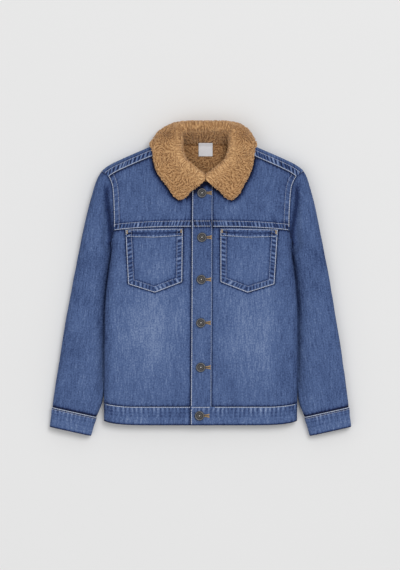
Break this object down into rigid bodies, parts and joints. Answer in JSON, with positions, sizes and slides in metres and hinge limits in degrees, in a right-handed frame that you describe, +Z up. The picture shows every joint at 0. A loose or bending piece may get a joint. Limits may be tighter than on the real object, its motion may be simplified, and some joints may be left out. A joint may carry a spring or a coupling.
{
  "type": "sherpa lined jacket",
  "caption": "Child's denim jacket with a fleece collar, lying flat and buttoned, with chest pockets, a front band, a waistband and cuffs.",
  "frame": {"origin": "under the middle of the jacket, on the surface that it lies on", "axes": "+X to the wearer's left, +Y from the hem to the collar, +Z up from the surface to the jacket's front"},
  "size_m": [0.5436, 0.5676, 0.0475],
  "materials": {
    "denim": "washed blue twill",
    "denim_faded": "faded blue twill",
    "fleece": "curly tan pile",
    "label_cloth": "plain woven tape",
    "antique_metal": "dark antiqued"
  },
  "bodies": {
    "root": {"back": "denim", "waistband_back": "denim", "front_yoke_left": "denim", "front_yoke_right": "denim", "front_lower_left": "denim_faded", "front_lower_right": "denim_faded", "waistband_left": "denim", "waistband_right": "denim", "sleeve_left": "denim", "sleeve_right": "denim", "cuff_left": "denim", "cuff_right": "denim", "front_band": "denim_faded", "pocket_left": "denim", "pocket_right": "denim", "pocket_hem_left": "denim", "pocket_hem_right": "denim", "button_1": "antique_metal", "button_2": "antique_metal", "button_3": "antique_metal", "button_4": "antique_metal", "button_5": "antique_metal", "button_6": "antique_metal", "collar": "fleece", "neck_lining": "fleece", "label": "label_cloth"}
  },
  "joints": []
}
